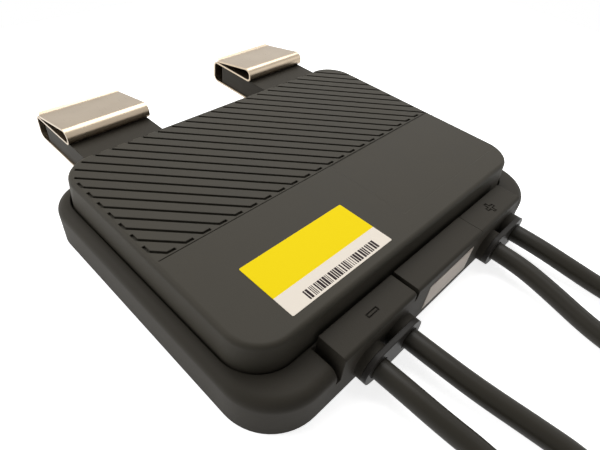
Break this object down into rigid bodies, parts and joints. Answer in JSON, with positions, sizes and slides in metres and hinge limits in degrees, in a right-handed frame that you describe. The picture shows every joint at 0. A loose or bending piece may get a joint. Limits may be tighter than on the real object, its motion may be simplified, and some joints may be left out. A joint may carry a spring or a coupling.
{
  "type": "solar power optimizer",
  "caption": "Flat sealed box with a diagonally ribbed cover, spring clips at the back and paired input and output cables ending in round plugs.",
  "frame": {"origin": "centre of the housing's flat back, at the surface it lies on", "axes": "+X along the cable side, from the negative pair to the positive pair; +Y from the cables to the spring clips; +Z from the flat back to the ribbed cover"},
  "size_m": [0.1384, 0.3828, 0.0262],
  "materials": {
    "housing_plastic": "fine moulded grain, near black",
    "cover_plastic": "matt moulded, warm charcoal",
    "seal_rubber": "dark moulded rubber",
    "retainer_plastic": "moulded, black",
    "spring_steel": "satin spring strip, rolled",
    "front_label": "printed film, yellow and white",
    "side_label": "printed film, cream",
    "spreader_metal": "mill",
    "thermal_pad": "soft, matt",
    "board_laminate": "solder resist",
    "choke_core": "coated ferrite",
    "choke_wire": "enamelled copper",
    "capacitor_can": "drawn can",
    "film_case": "moulded case",
    "chip_case": "moulded package",
    "terminal_metal": "tinned",
    "potting": "cast compound",
    "cable_jacket": "smooth jacket, black",
    "plug_plastic": "moulded, black",
    "contact_metal": "tinned copper"
  },
  "bodies": {
    "root": {"housing": "housing_plastic", "cover": "cover_plastic", "cover_gasket": "seal_rubber", "output_negative_seal": "seal_rubber", "input_negative_seal": "seal_rubber", "input_positive_seal": "seal_rubber", "output_positive_seal": "seal_rubber", "negative_retainer": "retainer_plastic", "positive_retainer": "retainer_plastic", "left_spring_clip": "spring_steel", "right_spring_clip": "spring_steel", "front_label": "front_label", "side_label": "side_label", "heat_spreader": "spreader_metal", "thermal_pad": "thermal_pad", "circuit_board": "board_laminate", "input_choke_core": "choke_core", "output_choke_core": "choke_core", "input_choke_winding": "choke_wire", "output_choke_winding": "choke_wire", "capacitor_1": "capacitor_can", "capacitor_2": "capacitor_can", "capacitor_3": "capacitor_can", "film_capacitor_1": "film_case", "film_capacitor_2": "film_case", "line_coupler": "film_case", "transistor_1": "chip_case", "transistor_2": "chip_case", "transistor_3": "chip_case", "transistor_4": "chip_case", "control_chip": "chip_case", "output_negative_terminal": "terminal_metal", "input_negative_terminal": "terminal_metal", "input_positive_terminal": "terminal_metal", "output_positive_terminal": "terminal_metal", "potting": "potting", "output_negative_lead": "cable_jacket", "output_negative_cable": "cable_jacket", "input_negative_lead": "cable_jacket", "input_negative_cable": "cable_jacket", "input_positive_lead": "cable_jacket", "input_positive_cable": "cable_jacket", "output_positive_lead": "cable_jacket", "output_positive_cable": "cable_jacket", "output_negative_coil": "cable_jacket", "output_positive_coil": "cable_jacket", "output_plug_negative_nut": "plug_plastic", "output_plug_negative_body": "plug_plastic", "input_plug_negative_nut": "plug_plastic", "input_plug_negative_body": "plug_plastic", "input_plug_positive_nut": "plug_plastic", "input_plug_positive_body": "plug_plastic", "output_plug_positive_nut": "plug_plastic", "output_plug_positive_body": "plug_plastic", "output_plug_negative_contact": "contact_metal", "input_plug_negative_contact": "contact_metal", "input_plug_positive_contact": "contact_metal", "output_plug_positive_contact": "contact_metal"}
  },
  "joints": []
}
